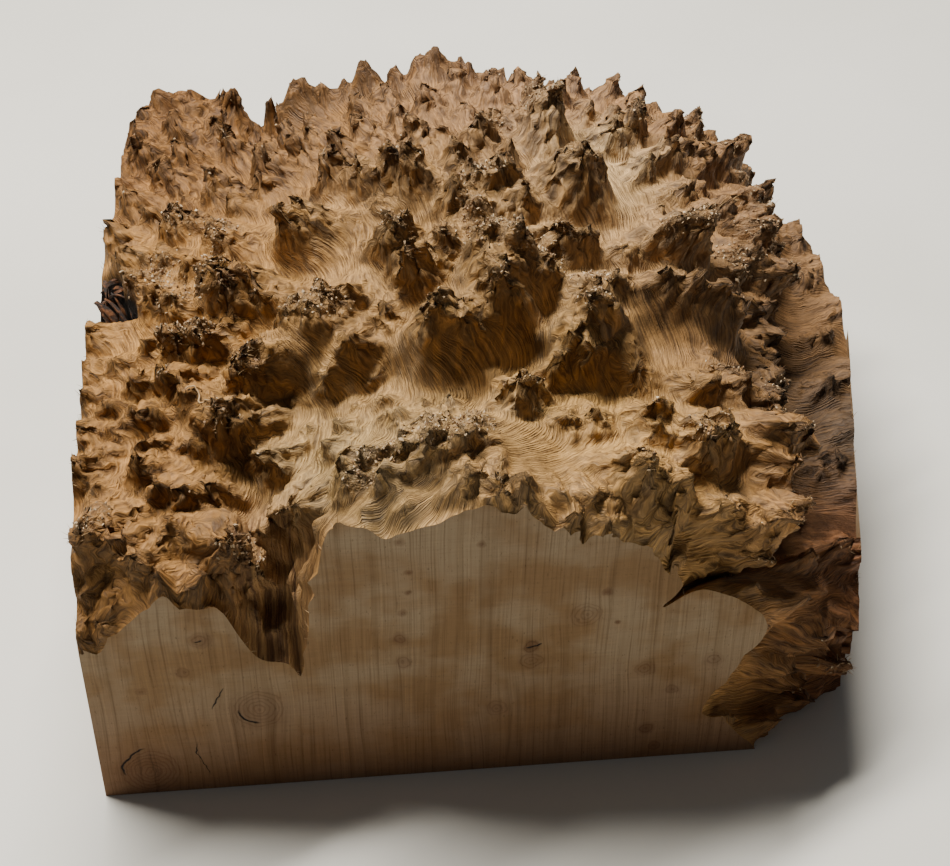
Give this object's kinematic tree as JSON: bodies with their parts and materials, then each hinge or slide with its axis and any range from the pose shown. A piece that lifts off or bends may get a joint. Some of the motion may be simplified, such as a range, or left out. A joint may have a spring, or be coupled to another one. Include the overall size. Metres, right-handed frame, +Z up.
{
  "type": "burl bowl blank",
  "caption": "Bowl blank of burl wood: a block sawn flat below and on its sides, with the grown top left covered in spikes, knobs and furrows for turning or carving.",
  "frame": {"origin": "centre of the bounding box's underside, on the surface that the block stands on", "axes": "+Z up out of the flat sawn base, -Y out of the sawn front face that shows the growth lines, +X along the block's longest side"},
  "size_m": [0.259, 0.24, 0.1432],
  "materials": {
    "burl_wood": "dry raw burl above, rough sawn faces below"
  },
  "bodies": {
    "root": {"burl_blank": "burl_wood"}
  },
  "joints": []
}
